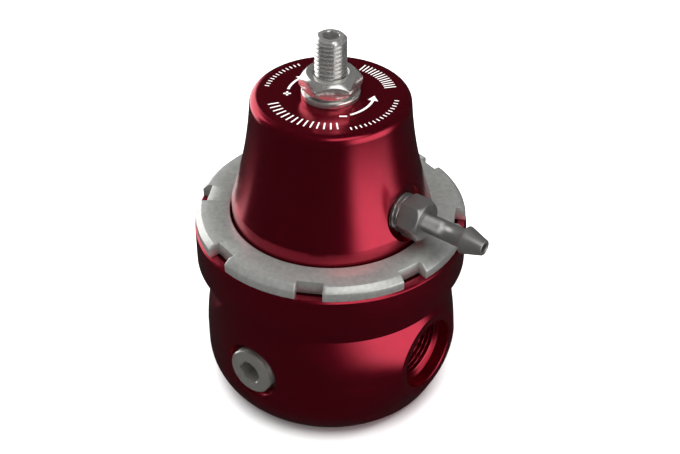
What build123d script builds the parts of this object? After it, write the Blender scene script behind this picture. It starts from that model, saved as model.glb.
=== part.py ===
from build123d import *
from math import cos, radians, sin, sqrt, tan
import os

os.makedirs("parts", exist_ok=True)

# Fuel pressure regulator. Millimetres, +Z up, origin at the centre of the base's underside.
# The two fuel ports lie on the X axis, the gauge port on -Y, and the hose barb on +X.

# Lock ring
ring_diameter = 57.15
ring_thickness = 3.05
ring_chamfer = 1.15
ring_bore_gap = 0.44
ring_bore_chamfer = 0.35
notch_count = 8
notch_width = 5.5
notch_depth = 2.35
notch_start_angle = -60.9

# Base, outside
base_height = 40.9
rim_overhang = 0.28
rim_band_height = 8.7
rim_chamfer = 0.4
rim_lip_width = 1.5
rim_groove_depth = 0.6
body_step = 1.4
body_strip_height = 3.16
bottom_round_radius = 11.4
bottom_flat_inset = 5.49
bottom_round_turn = 40.0

# Fuel ports on the two sides and the return port underneath, all 9/16-18 O-ring ports
port_bore_radius = 6.45
port_seat_radius = 7.85
port_seat_depth = 2.2
port_seat_cone_depth = 0.9
port_seat_cone_radius = 6.95
mouth_run_out = 4.0
side_port_height = 16.0
side_port_face_inset = 0.94
side_boss_radius = 9.86
boss_flank_depth = 0.15
side_port_length = 12.0
side_drill_radius = 4.5
return_port_depth = 9.5

# Gauge port and its plug, 1/8 pipe thread
gauge_thread_radius = 5.15
gauge_bore_length = 10.0
gauge_drill_radius = 1.75
gauge_mouth_chamfer = 0.9
plug_length = 8.0
plug_stand_out = 0.45
plug_chamfer = 0.45
plug_socket_across_flats = 4.76
plug_socket_depth = 4.5
pipe_taper = 1 / 32

# Tapped bracket holes underneath
bracket_hole_radius = 2.1
bracket_hole_spacing = 28.0
bracket_hole_depth = 8.0

# Inside of the base
rim_bore_radius = 24.6
rim_bore_depth = 7.9
bowl_radius = 19.0
bowl_depth = 6.0
gallery_radius = 13.5
gallery_sump_depth = 0.4
post_radius = 7.5
post_rise = 0.5
return_bore_radius = 3.2
seat_pocket_radius = 5.0
seat_pocket_depth = 5.5

# Valve seat insert and its O-ring
seat_lip_radius = 3.6
seat_lip_height = 0.5
seat_bore_radius = 2.6
seat_groove_depth = 1.08
seat_groove_width = 1.3
seat_groove_height = 2.2
seat_ring_gap = 0.03

# Diaphragm and cap flange
diaphragm_thickness = 1.0
diaphragm_bead_radius = 14.5
diaphragm_bead_half_width = 1.8
diaphragm_bead_height = 1.4
cap_flange_thickness = 4.5
cap_flange_gap = 0.4

# Cap
cap_height = 27.1
cap_foot_radius = 20.86
cap_foot_height = 2.65
cap_waist_radius = 17.76
cap_waist_height = 14.65
cap_top_radius = 16.25
cap_top_fillet = 2.0
cap_chamber_radius = 12.2
cap_mouth_radius = 17.0
cap_mouth_height = 7.0
cap_mouth_taper = 6.0
cap_roof_thickness = 9.0

# Hose barb in the cap's side, 1/16 pipe thread
barb_rise = 9.4
barb_pocket_radius = 5.7
barb_pocket_floor = 18.0
barb_thread_radius = 4.08
barb_thread_length = 7.3
barb_hex_across_flats = 7.94
barb_hex_length = 4.4
barb_thread_exposed = 1.9
barb_hex_chamfer = 0.7
barb_hex_chamfer_slope = 3.0
barb_tube_radius = 2.0
barb_tube_length = 9.2
barb_ridge_radius = 2.9
barb_ridge_length = 4.5
barb_tip_radius = 1.6
barb_bore_radius = 1.0
barb_hole_run_out = 1.0

# Adjusting screw, lock nut and bonded seal washer, 1/4-28 thread
screw_radius = 3.25
screw_stand_out = 8.1
screw_chamfer = 0.75
screw_socket_across_flats = 3.18
screw_socket_depth = 4.5
nut_across_flats = 11.11
nut_thickness = 3.97
nut_bevel = 1.2
nut_bevel_angle = 30.0
nut_turn = -18.0
washer_thickness = 1.15
washer_radius = 5.95
washer_seal_radius = 4.3
washer_seal_bore_gap = 0.15

# Main spring, its upper seat and the thrust ball
spring_mean_radius = 8.6
spring_wire_radius = 1.3
spring_height = 20.0
spring_turns = 4.5
wire_sides = 8
seal_sides = 16
spring_seat_thickness = 3.0
spring_pilot_length = 2.0
thrust_ball_radius = 2.38
thrust_ball_exposure = 1.0

# Moving valve: carrier, plates, nut, ball
carrier_radius = 12.0
carrier_thickness = 2.4
carrier_hub_radius = 5.9
carrier_hub_gap = 0.3
stem_radius = 4.0
stem_end = 0.8
upper_plate_floor = 2.0
upper_plate_rim_height = 2.0
upper_plate_rim_wall = 1.8
stem_washer_thickness = 0.8
stem_washer_radius = 6.6
stem_nut_across_flats = 12.0
stem_nut_thickness = 3.2
valve_ball_radius = 3.175
valve_ball_gap = 0.02
ball_pocket_gap = 0.1
ball_pocket_rise = 2.6
retainer_thickness = 0.6
retainer_bore_gap = 0.1
retainer_wall = 1.5
ball_spring_wire_radius = 0.22
ball_spring_turns = 4.0
ball_spring_bore_radius = 2.1
ball_spring_bore_roof = 2.8
ball_spring_gap = 0.25

# Clearances
thread_clearance = 0.05
running_clearance = 0.06
guide_clearance = 0.3
press_clearance = 0.02


def hexagon_radius(across_flats):
    """Corner radius of a hexagon."""
    return across_flats / 2 / cos(radians(30))


# Outside levels and radii that follow from the sizes above
ring_radius = ring_diameter / 2
ring_bore_radius = cap_foot_radius + ring_bore_gap
rim_radius = ring_radius + rim_overhang
rim_lip_radius = rim_radius - rim_chamfer - rim_lip_width
rim_groove_level = base_height - rim_groove_depth
body_radius = rim_radius - body_step
band_bottom = base_height - rim_band_height
strip_bottom = band_bottom - body_strip_height
ring_top = base_height + ring_thickness
barb_height = base_height + barb_rise
cap_top = ring_top + cap_height
washer_top = cap_top + washer_thickness
nut_top = washer_top + nut_thickness
screw_top = nut_top + screw_stand_out

# Inside levels, from the diaphragm's ledge down to the ports
ledge_level = base_height - rim_bore_depth
bowl_floor = ledge_level - bowl_depth
gallery_floor = side_port_height - side_drill_radius - gallery_sump_depth
post_top = bowl_floor + post_rise
seat_pocket_floor = post_top - seat_pocket_depth
seat_land = post_top + seat_lip_height

# Inside levels, from the diaphragm's ledge up to the cap's roof
flange_bottom = ledge_level + diaphragm_thickness
flange_top = flange_bottom + cap_flange_thickness
upper_plate_top = flange_bottom + upper_plate_floor
spring_top = upper_plate_top + spring_height
spring_seat_top = spring_top + spring_seat_thickness
thrust_ball_level = spring_seat_top + thrust_ball_exposure
screw_bottom = thrust_ball_level + thrust_ball_exposure
chamber_roof = cap_top - cap_roof_thickness

# Moving valve levels: the ball rests on the seat's edge
valve_ball_level = seat_land + sqrt(valve_ball_radius**2 - seat_bore_radius**2) + valve_ball_gap
hub_bottom = seat_land + carrier_hub_gap
stem_washer_top = upper_plate_top + stem_washer_thickness
stem_nut_top = stem_washer_top + stem_nut_thickness
stem_top = stem_nut_top + stem_end
ball_spring_roof = stem_top - ball_spring_bore_roof

# Radii and heights of the small inner pieces
nut_bevel_start = hexagon_radius(nut_across_flats) - nut_bevel
nut_bevel_drop = (nut_across_flats - nut_bevel_start) * tan(radians(nut_bevel_angle))
bead_outside = diaphragm_bead_radius + diaphragm_bead_half_width
bead_inside = diaphragm_bead_radius - diaphragm_bead_half_width
bead_flank = diaphragm_bead_half_width / 2
ball_pocket_radius = valve_ball_radius + ball_pocket_gap
retainer_radius = ball_pocket_radius + retainer_wall
upper_plate_rim_radius = spring_mean_radius + spring_wire_radius + guide_clearance
spring_pilot_radius = spring_mean_radius - spring_wire_radius - guide_clearance
seat_body_radius = seat_pocket_radius - press_clearance
seat_groove_floor = seat_pocket_floor + seat_groove_height
seat_ring_section_radius = (seat_pocket_radius - seat_body_radius + seat_groove_depth) / 2 - seat_ring_gap
seat_ring_middle_radius = seat_pocket_radius - seat_ring_gap - seat_ring_section_radius
ball_spring_mean_radius = ball_spring_bore_radius - ball_spring_wire_radius - ball_spring_gap
ball_spring_reach = valve_ball_radius + ball_spring_wire_radius
ball_spring_bottom = valve_ball_level + sqrt(ball_spring_reach**2 - ball_spring_mean_radius**2)

# The rolled bottom edge is an arc tangent to the body's side and cut off by the flat underside
bottom_flat_radius = body_radius - bottom_flat_inset
bottom_round_inset = body_radius - bottom_round_radius
bottom_round_level = sqrt(bottom_round_radius**2 - (bottom_flat_radius - bottom_round_inset) ** 2)

# The flank of each port boss is a cone, tangent to a circle just inside the body's side
side_port_face = body_radius - side_port_face_inset
boss_edge_reach = sqrt(side_port_face**2 + side_boss_radius**2)
boss_root = body_radius - boss_flank_depth
boss_flank_run = sqrt(boss_edge_reach**2 - boss_root**2)
boss_tangent_share = (boss_root * side_port_face - boss_flank_run * side_boss_radius) / boss_edge_reach**2
boss_tangent_x = boss_root * boss_tangent_share
boss_tangent_radius = sqrt(boss_root**2 - boss_tangent_x**2)
boss_slope = (boss_tangent_radius - side_boss_radius) / (side_port_face - boss_tangent_x)
relief_depth = side_port_face - body_radius / 2
relief_outside = ring_diameter

port_plane = Plane(origin=(0, 0, side_port_height), x_dir=(1, 0, 0), z_dir=(0, -1, 0))
port_axis = Axis((0, 0, side_port_height), (1, 0, 0))
right_port = Plane(origin=(side_port_face, 0, side_port_height), z_dir=(-1, 0, 0))
left_port = Plane(origin=(-side_port_face, 0, side_port_height), z_dir=(1, 0, 0))
gallery_middle = (gallery_radius + post_radius) / 2

# Places along the gauge port's and the barb's axes
gauge_port = Plane(origin=(0, -body_radius, side_port_height), x_dir=(1, 0, 0), z_dir=(0, 1, 0))
plug_place = Plane(
    origin=(0, -body_radius - plug_stand_out, side_port_height), x_dir=(1, 0, 0), z_dir=(0, 1, 0)
)
gauge_bore_radius = gauge_thread_radius + thread_clearance
barb_hex_start = barb_pocket_floor + barb_thread_exposed
barb_hole_radius = barb_thread_radius - barb_thread_exposed * pipe_taper + thread_clearance
barb_hole_length = barb_pocket_floor - cap_chamber_radius + barb_hole_run_out
barb_place = Plane(origin=(barb_hex_start, 0, barb_height), x_dir=(0, 1, 0), z_dir=(1, 0, 0))


def port_space(depth):
    """Hollow of an O-ring port: mouth at the origin, running into +Z."""
    with BuildPart() as space:
        with BuildSketch(Plane.XZ):
            with BuildLine():
                Polyline(
                    (0, -mouth_run_out),
                    (port_seat_radius, -mouth_run_out),
                    (port_seat_radius, port_seat_depth),
                    (port_seat_cone_radius, port_seat_depth + port_seat_cone_depth),
                    (port_bore_radius, port_seat_depth + port_seat_cone_depth),
                    (port_bore_radius, depth),
                    (0, depth),
                    close=True,
                )
            make_face()
        revolve(axis=Axis.Z)
    return space.part


def pipe_body(large_radius, length):
    """Taper-thread body, or its hole: large end at the origin, narrowing along +Z."""
    with BuildPart() as body:
        with BuildSketch(Plane.XZ):
            with BuildLine():
                Polyline(
                    (0, 0),
                    (large_radius, 0),
                    (large_radius - length * pipe_taper, length),
                    (0, length),
                    close=True,
                )
            make_face()
        revolve(axis=Axis.Z)
    return body.part


def coil(mean_radius, wire_radius, bottom, height, turns):
    """Coil spring: a helix of wire whose ends are ground flat at bottom and at bottom + height."""
    with BuildPart() as spring:
        with BuildLine():
            path = Helix(height / turns, height, mean_radius, center=(0, 0, bottom))
        with BuildSketch(Plane(origin=path @ 0, z_dir=path % 0)):
            RegularPolygon(wire_radius, wire_sides)
        sweep(path=path, is_frenet=True)
        split(bisect_by=Plane.XY.offset(bottom), keep=Keep.TOP)
        split(bisect_by=Plane.XY.offset(bottom + height), keep=Keep.BOTTOM)
    return spring.part


def ball_section(level):
    """Radius of the valve ball where a level plane cuts it."""
    return sqrt(valve_ball_radius**2 - (valve_ball_level - level) ** 2)


# Cone-shaped space round the right port boss, up to the underside of the strip
with BuildPart() as boss_relief:
    with BuildSketch(port_plane):
        with BuildLine():
            Polyline(
                (side_port_face, 0),
                (side_port_face, side_boss_radius),
                (side_port_face - relief_depth, side_boss_radius + boss_slope * relief_depth),
                (side_port_face - relief_depth, relief_outside),
                (relief_outside, relief_outside),
                (relief_outside, 0),
                close=True,
            )
        make_face()
    revolve(axis=port_axis)
    split(bisect_by=Plane.XY.offset(strip_bottom), keep=Keep.BOTTOM)

# Gauge port's hollow: mouth at the origin, running into +Z
with BuildPart() as gauge_bore:
    with BuildSketch(Plane.XZ):
        with BuildLine():
            Polyline(
                (0, -mouth_run_out),
                (gauge_bore_radius + gauge_mouth_chamfer + mouth_run_out, -mouth_run_out),
                (gauge_bore_radius, gauge_mouth_chamfer),
                (gauge_bore_radius - gauge_bore_length * pipe_taper, gauge_bore_length),
                (gauge_drill_radius, gauge_bore_length),
                (gauge_drill_radius, body_radius - gallery_middle),
                (0, body_radius - gallery_middle),
                close=True,
            )
        make_face()
    revolve(axis=Axis.Z)

# Spot face and tapped hole for the barb: the barb's hexagon starts at the origin, on the +Z side
with BuildPart() as barb_seat:
    with BuildSketch(Plane.XZ):
        with BuildLine():
            Polyline(
                (0, mouth_run_out),
                (barb_pocket_radius, mouth_run_out),
                (barb_pocket_radius, -barb_thread_exposed),
                (barb_hole_radius, -barb_thread_exposed),
                (barb_hole_radius - barb_hole_length * pipe_taper, -barb_thread_exposed - barb_hole_length),
                (0, -barb_thread_exposed - barb_hole_length),
                close=True,
            )
        make_face()
    revolve(axis=Axis.Z)

with BuildPart() as base:
    # Turned outside: flat underside, rolled edge, body, strip, and the wider rim band
    with BuildSketch(Plane.XZ):
        with BuildLine():
            underside = Line((0, 0), (bottom_flat_radius, 0))
            rolled_edge = ThreePointArc(
                underside @ 1,
                (
                    bottom_round_inset + bottom_round_radius * cos(radians(bottom_round_turn)),
                    bottom_round_level - bottom_round_radius * sin(radians(bottom_round_turn)),
                ),
                (body_radius, bottom_round_level),
            )
            Polyline(
                rolled_edge @ 1,
                (body_radius, band_bottom),
                (rim_radius, band_bottom),
                (rim_radius, base_height - rim_chamfer),
                (rim_radius - rim_chamfer, base_height),
                (rim_lip_radius, base_height),
                (rim_lip_radius, rim_groove_level),
                (0, rim_groove_level),
                (0, 0),
            )
        make_face()
    revolve(axis=Axis.Z)
    # Port bosses on both sides: round flat faces, with flanks that fade into the body
    with BuildSketch(port_plane):
        with BuildLine():
            Polyline(
                (0, 0),
                (side_port_face, 0),
                (side_port_face, side_boss_radius),
                (boss_tangent_x, boss_tangent_radius),
                (0, 0),
            )
        make_face()
        mirror(about=Plane.YZ)
    revolve(axis=port_axis)
    add(boss_relief.part, mode=Mode.SUBTRACT)
    add(mirror(boss_relief.part, about=Plane.YZ, mode=Mode.PRIVATE), mode=Mode.SUBTRACT)
    # Gauge port: taper-threaded bore with a chamfered mouth, and its small drilling
    add(gauge_bore.part.moved(gauge_port.location), mode=Mode.SUBTRACT)
    # O-ring ports, and the drillings that lead from the side ports into the gallery
    add(port_space(return_port_depth), mode=Mode.SUBTRACT)
    for port in (right_port, left_port):
        add(port_space(side_port_length).moved(port.location), mode=Mode.SUBTRACT)
        with Locations(port.location):
            Cylinder(
                side_drill_radius,
                side_port_face - gallery_middle,
                align=(Align.CENTER, Align.CENTER, Align.MIN),
                mode=Mode.SUBTRACT,
            )
    # Tapped holes for a bracket, on both sides of the return port
    with Locations((0, bracket_hole_spacing / 2), (0, -bracket_hole_spacing / 2)):
        Cylinder(
            bracket_hole_radius,
            bracket_hole_depth,
            align=(Align.CENTER, Align.CENTER, Align.MIN),
            mode=Mode.SUBTRACT,
        )
    # Threaded rim bore, diaphragm ledge, fuel bowl, the gallery round the post, and the return bore
    with BuildSketch(Plane.XZ):
        with BuildLine():
            Polyline(
                (0, base_height),
                (rim_bore_radius, base_height),
                (rim_bore_radius, ledge_level),
                (bowl_radius, ledge_level),
                (bowl_radius, bowl_floor),
                (gallery_radius, bowl_floor),
                (gallery_radius, gallery_floor),
                (post_radius, gallery_floor),
                (post_radius, post_top),
                (seat_pocket_radius, post_top),
                (seat_pocket_radius, seat_pocket_floor),
                (return_bore_radius, seat_pocket_floor),
                (return_bore_radius, 0),
                (0, 0),
                close=True,
            )
        make_face()
    revolve(axis=Axis.Z, mode=Mode.SUBTRACT)

with BuildPart() as lock_ring:
    # Flange on the rim, and the threaded skirt that presses the cap's flange down
    with BuildSketch(Plane.XZ):
        with BuildLine():
            Polyline(
                (ring_bore_radius, flange_top),
                (rim_bore_radius - thread_clearance, flange_top),
                (rim_bore_radius - thread_clearance, base_height),
                (ring_radius, base_height),
                (ring_radius, ring_top - ring_chamfer),
                (ring_radius - ring_chamfer, ring_top),
                (ring_bore_radius + ring_bore_chamfer, ring_top),
                (ring_bore_radius, ring_top - ring_bore_chamfer),
                close=True,
            )
        make_face()
    revolve(axis=Axis.Z)
    # Spanner notches with flat inner walls
    with BuildSketch(Plane.XY.offset(base_height)):
        with PolarLocations(ring_radius - notch_depth, notch_count, start_angle=notch_start_angle):
            Rectangle(2 * notch_depth, notch_width, align=(Align.MIN, Align.CENTER))
    extrude(amount=ring_thickness, mode=Mode.SUBTRACT)

with BuildPart() as cap:
    # Bell-shaped outside, with a short straight foot inside the ring
    with BuildSketch(Plane.XZ):
        with BuildLine():
            foot = Polyline(
                (0, flange_bottom),
                (rim_bore_radius - cap_flange_gap, flange_bottom),
                (rim_bore_radius - cap_flange_gap, flange_top),
                (cap_foot_radius, flange_top),
                (cap_foot_radius, ring_top + cap_foot_height),
            )
            bell = ThreePointArc(
                foot @ 1,
                (cap_waist_radius, ring_top + cap_waist_height),
                (cap_top_radius, cap_top),
            )
            Polyline(bell @ 1, (0, cap_top), (0, flange_bottom))
        make_face()
        fillet(vertices().group_by(Axis.Y)[-1].sort_by(Axis.X)[-1], cap_top_fillet)
    revolve(axis=Axis.Z)
    # Mouth over the diaphragm, tapering into the spring chamber, and the screw's tapped hole
    with BuildSketch(Plane.XZ):
        with BuildLine():
            Polyline(
                (0, flange_bottom),
                (cap_mouth_radius, flange_bottom),
                (cap_mouth_radius, flange_bottom + cap_mouth_height),
                (cap_chamber_radius, flange_bottom + cap_mouth_height + cap_mouth_taper),
                (cap_chamber_radius, chamber_roof),
                (screw_radius + thread_clearance, chamber_roof),
                (screw_radius + thread_clearance, cap_top),
                (0, cap_top),
                close=True,
            )
        make_face()
    revolve(axis=Axis.Z, mode=Mode.SUBTRACT)
    # Spot face and taper-threaded hole for the hose barb
    add(barb_seat.part.moved(barb_place.location), mode=Mode.SUBTRACT)

with BuildPart() as vacuum_barb:
    # Turned outline along Z, with the shank's thread end at the bottom
    with BuildSketch(Plane.XZ):
        with BuildLine():
            Polyline(
                (0, -barb_thread_length),
                (barb_thread_radius - barb_thread_length * pipe_taper, -barb_thread_length),
                (barb_thread_radius, 0),
                (barb_tube_radius, 0),
                (barb_tube_radius, barb_hex_length + barb_tube_length),
                (barb_ridge_radius, barb_hex_length + barb_tube_length),
                (barb_tip_radius, barb_hex_length + barb_tube_length + barb_ridge_length),
                (0, barb_hex_length + barb_tube_length + barb_ridge_length),
                close=True,
            )
        make_face()
    revolve(axis=Axis.Z)
    with BuildSketch():
        RegularPolygon(hexagon_radius(barb_hex_across_flats), 6)
    extrude(amount=barb_hex_length)
    # Corners of the hexagon are turned off on its outer face
    with BuildSketch(Plane.XZ):
        with BuildLine():
            Polyline(
                (barb_hex_across_flats / 2, barb_hex_length),
                (barb_hex_across_flats, barb_hex_length),
                (barb_hex_across_flats, barb_hex_length - barb_hex_chamfer * barb_hex_chamfer_slope),
                (hexagon_radius(barb_hex_across_flats), barb_hex_length - barb_hex_chamfer),
                close=True,
            )
        make_face()
    revolve(axis=Axis.Z, mode=Mode.SUBTRACT)
    Hole(barb_bore_radius)
vacuum_barb_part = vacuum_barb.part.moved(barb_place.location)

with BuildPart() as gauge_port_plug:
    add(pipe_body(gauge_thread_radius + plug_stand_out * pipe_taper, plug_length))
    chamfer(edges().filter_by(GeomType.CIRCLE).sort_by(Axis.Z)[0], plug_chamfer)
    with BuildSketch():
        RegularPolygon(hexagon_radius(plug_socket_across_flats), 6)
    extrude(amount=plug_socket_depth, mode=Mode.SUBTRACT)
gauge_port_plug_part = gauge_port_plug.part.moved(plug_place.location)

with BuildPart() as adjusting_screw:
    with BuildSketch(Plane.XY.offset(screw_bottom)):
        Circle(screw_radius)
    extrude(amount=screw_top - screw_bottom)
    chamfer(edges().filter_by(GeomType.CIRCLE), screw_chamfer)
    # Hexagon socket in the top, and the dimple for the thrust ball in the tip
    with BuildSketch(Plane.XY.offset(screw_top)):
        RegularPolygon(hexagon_radius(screw_socket_across_flats), 6)
    extrude(amount=-screw_socket_depth, mode=Mode.SUBTRACT)
    with Locations((0, 0, thrust_ball_level)):
        Sphere(thrust_ball_radius + running_clearance, mode=Mode.SUBTRACT)

with BuildPart() as lock_nut:
    with BuildSketch(Plane.XY.offset(washer_top)):
        RegularPolygon(hexagon_radius(nut_across_flats), 6, rotation=nut_turn)
        Circle(screw_radius + running_clearance, mode=Mode.SUBTRACT)
    extrude(amount=nut_thickness)
    # Corners are bevelled above and below, where the nut meets a cone
    with BuildSketch(Plane.XZ):
        for face_level, side in ((nut_top, -1), (washer_top, 1)):
            with BuildLine():
                Polyline(
                    (nut_bevel_start, face_level),
                    (nut_across_flats, face_level),
                    (nut_across_flats, face_level + side * nut_bevel_drop),
                    close=True,
                )
            make_face()
    revolve(axis=Axis.Z, mode=Mode.SUBTRACT)

with BuildPart() as sealing_washer:
    with BuildSketch(Plane.XY.offset(cap_top)):
        Circle(washer_radius)
        Circle(washer_seal_radius, mode=Mode.SUBTRACT)
    extrude(amount=washer_thickness)

with BuildPart() as washer_seal:
    with BuildSketch(Plane.XY.offset(cap_top)):
        Circle(washer_seal_radius)
        Circle(screw_radius + washer_seal_bore_gap, mode=Mode.SUBTRACT)
    extrude(amount=washer_thickness)

with BuildPart() as diaphragm:
    # Flat rim and centre joined by a raised bead that lets the centre move
    with BuildSketch(Plane.XZ):
        with BuildLine():
            Polyline(
                (stem_radius + press_clearance, ledge_level),
                (bead_inside, ledge_level),
                (bead_inside + bead_flank, ledge_level + diaphragm_bead_height),
                (bead_outside - bead_flank, ledge_level + diaphragm_bead_height),
                (bead_outside, ledge_level),
                (rim_bore_radius - cap_flange_gap, ledge_level),
                (rim_bore_radius - cap_flange_gap, flange_bottom),
                (bead_outside, flange_bottom),
                (bead_outside - bead_flank, flange_bottom + diaphragm_bead_height),
                (bead_inside + bead_flank, flange_bottom + diaphragm_bead_height),
                (bead_inside, flange_bottom),
                (stem_radius + press_clearance, flange_bottom),
                close=True,
            )
        make_face()
    revolve(axis=Axis.Z)

with BuildPart() as valve_carrier:
    # Plate under the diaphragm, hub round the ball, and the hollow stem through the stack
    with BuildSketch(Plane.XZ):
        with BuildLine():
            Polyline(
                (retainer_radius, hub_bottom),
                (carrier_hub_radius, hub_bottom),
                (carrier_hub_radius, ledge_level - carrier_thickness),
                (carrier_radius, ledge_level - carrier_thickness),
                (carrier_radius, ledge_level),
                (stem_radius, ledge_level),
                (stem_radius, stem_top),
                (0, stem_top),
                (0, ball_spring_roof),
                (ball_spring_bore_radius, ball_spring_roof),
                (ball_spring_bore_radius, valve_ball_level + ball_pocket_rise),
                (ball_pocket_radius, valve_ball_level + ball_pocket_rise),
                (ball_pocket_radius, hub_bottom + retainer_thickness),
                (retainer_radius, hub_bottom + retainer_thickness),
                close=True,
            )
        make_face()
    revolve(axis=Axis.Z)

with BuildPart() as ball_retainer:
    # Ring pressed into the hub; its conical bore is narrower than the ball
    with BuildSketch(Plane.XZ):
        with BuildLine():
            Polyline(
                (ball_section(hub_bottom) + retainer_bore_gap, hub_bottom),
                (retainer_radius - press_clearance, hub_bottom),
                (retainer_radius - press_clearance, hub_bottom + retainer_thickness),
                (
                    ball_section(hub_bottom + retainer_thickness) + retainer_bore_gap,
                    hub_bottom + retainer_thickness,
                ),
                close=True,
            )
        make_face()
    revolve(axis=Axis.Z)

with BuildPart() as valve_ball:
    with Locations((0, 0, valve_ball_level)):
        Sphere(valve_ball_radius)

with BuildPart() as upper_plate:
    # Cup that centres the main spring on the diaphragm
    with BuildSketch(Plane.XZ):
        with BuildLine():
            Polyline(
                (stem_radius + press_clearance, flange_bottom),
                (upper_plate_rim_radius + upper_plate_rim_wall, flange_bottom),
                (upper_plate_rim_radius + upper_plate_rim_wall, upper_plate_top + upper_plate_rim_height),
                (upper_plate_rim_radius, upper_plate_top + upper_plate_rim_height),
                (upper_plate_rim_radius, upper_plate_top),
                (stem_radius + press_clearance, upper_plate_top),
                close=True,
            )
        make_face()
    revolve(axis=Axis.Z)

with BuildPart() as stem_lock_washer:
    with BuildSketch(Plane.XY.offset(upper_plate_top)):
        Circle(stem_washer_radius)
        Circle(stem_radius + press_clearance, mode=Mode.SUBTRACT)
    extrude(amount=stem_washer_thickness)

with BuildPart() as stem_nut:
    with BuildSketch(Plane.XY.offset(stem_washer_top)):
        RegularPolygon(hexagon_radius(stem_nut_across_flats), 6)
        Circle(stem_radius + press_clearance, mode=Mode.SUBTRACT)
    extrude(amount=stem_nut_thickness)

with BuildPart() as valve_seat:
    # Insert with a raised seating edge, a through bore and a groove for its O-ring
    with BuildSketch(Plane.XZ):
        with BuildLine():
            Polyline(
                (seat_bore_radius, seat_pocket_floor),
                (seat_body_radius, seat_pocket_floor),
                (seat_body_radius, seat_groove_floor),
                (seat_body_radius - seat_groove_depth, seat_groove_floor),
                (seat_body_radius - seat_groove_depth, seat_groove_floor + seat_groove_width),
                (seat_body_radius, seat_groove_floor + seat_groove_width),
                (seat_body_radius, post_top),
                (seat_lip_radius, post_top),
                (seat_lip_radius, seat_land),
                (seat_bore_radius, seat_land),
                close=True,
            )
        make_face()
    revolve(axis=Axis.Z)

with BuildPart() as seat_o_ring:
    # Its round section is drawn with many flats, as the springs' wire is
    with BuildSketch(Plane.XZ):
        with Locations((seat_ring_middle_radius, seat_groove_floor + seat_groove_width / 2)):
            RegularPolygon(seat_ring_section_radius, seal_sides)
    revolve(axis=Axis.Z)

with BuildPart() as spring_seat:
    # Disc with a pilot that enters the spring, guided by the chamber's wall
    with BuildSketch(Plane.XZ):
        with BuildLine():
            Polyline(
                (0, spring_top - spring_pilot_length),
                (spring_pilot_radius, spring_top - spring_pilot_length),
                (spring_pilot_radius, spring_top),
                (cap_chamber_radius - guide_clearance, spring_top),
                (cap_chamber_radius - guide_clearance, spring_seat_top),
                (0, spring_seat_top),
                close=True,
            )
        make_face()
    revolve(axis=Axis.Z)
    with Locations((0, 0, thrust_ball_level)):
        Sphere(thrust_ball_radius + running_clearance, mode=Mode.SUBTRACT)

with BuildPart() as thrust_ball:
    with Locations((0, 0, thrust_ball_level)):
        Sphere(thrust_ball_radius)

with BuildPart() as main_spring:
    add(coil(spring_mean_radius, spring_wire_radius, upper_plate_top, spring_height, spring_turns))

with BuildPart() as ball_spring:
    add(
        coil(
            ball_spring_mean_radius,
            ball_spring_wire_radius,
            ball_spring_bottom,
            ball_spring_roof - ball_spring_bottom,
            ball_spring_turns,
        )
    )

pieces = {
    "base": base.part,
    "lock_ring": lock_ring.part,
    "cap": cap.part,
    "vacuum_barb": vacuum_barb_part,
    "gauge_port_plug": gauge_port_plug_part,
    "adjusting_screw": adjusting_screw.part,
    "lock_nut": lock_nut.part,
    "sealing_washer": sealing_washer.part,
    "washer_seal": washer_seal.part,
    "diaphragm": diaphragm.part,
    "valve_carrier": valve_carrier.part,
    "ball_retainer": ball_retainer.part,
    "valve_ball": valve_ball.part,
    "ball_spring": ball_spring.part,
    "upper_plate": upper_plate.part,
    "stem_lock_washer": stem_lock_washer.part,
    "stem_nut": stem_nut.part,
    "valve_seat": valve_seat.part,
    "seat_o_ring": seat_o_ring.part,
    "spring_seat": spring_seat.part,
    "thrust_ball": thrust_ball.part,
    "main_spring": main_spring.part,
}
for name, piece in pieces.items():
    piece.label = name
    export_step(piece, f"parts/{name}.step")
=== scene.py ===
import bmesh
import bpy
from math import atan2, cos, hypot, pi, radians, sin, sqrt, tan
from mathutils import Matrix, Vector


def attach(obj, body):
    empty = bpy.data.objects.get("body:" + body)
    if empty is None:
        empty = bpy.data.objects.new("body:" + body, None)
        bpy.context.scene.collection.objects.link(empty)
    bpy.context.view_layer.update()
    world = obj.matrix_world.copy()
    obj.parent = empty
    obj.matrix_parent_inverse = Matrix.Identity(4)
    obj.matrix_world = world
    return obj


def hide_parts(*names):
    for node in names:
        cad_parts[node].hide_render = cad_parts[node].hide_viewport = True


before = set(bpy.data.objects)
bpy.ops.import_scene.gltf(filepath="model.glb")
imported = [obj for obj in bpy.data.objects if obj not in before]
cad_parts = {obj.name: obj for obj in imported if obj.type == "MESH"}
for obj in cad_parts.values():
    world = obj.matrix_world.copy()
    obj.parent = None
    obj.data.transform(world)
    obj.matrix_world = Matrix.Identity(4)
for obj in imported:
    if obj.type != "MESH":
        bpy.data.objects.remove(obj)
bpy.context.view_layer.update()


# Camera
# It stands in front of the gauge port, a little to its right, and looks down on the regulator:
# 224 mm out from its axis and 207 mm up, with a 69 mm lens on a 36 mm sensor. Angles are in radians.
mm = 0.001
camera_azimuth = radians(-52.0)
camera_out = 223.74 * mm
camera_height = 207.15 * mm
look_down = 0.6479
look_aside = 0.0088
camera_roll = 0.005
lens_length = 69.27
sensor_width = 36
nearest = 0.01

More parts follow.
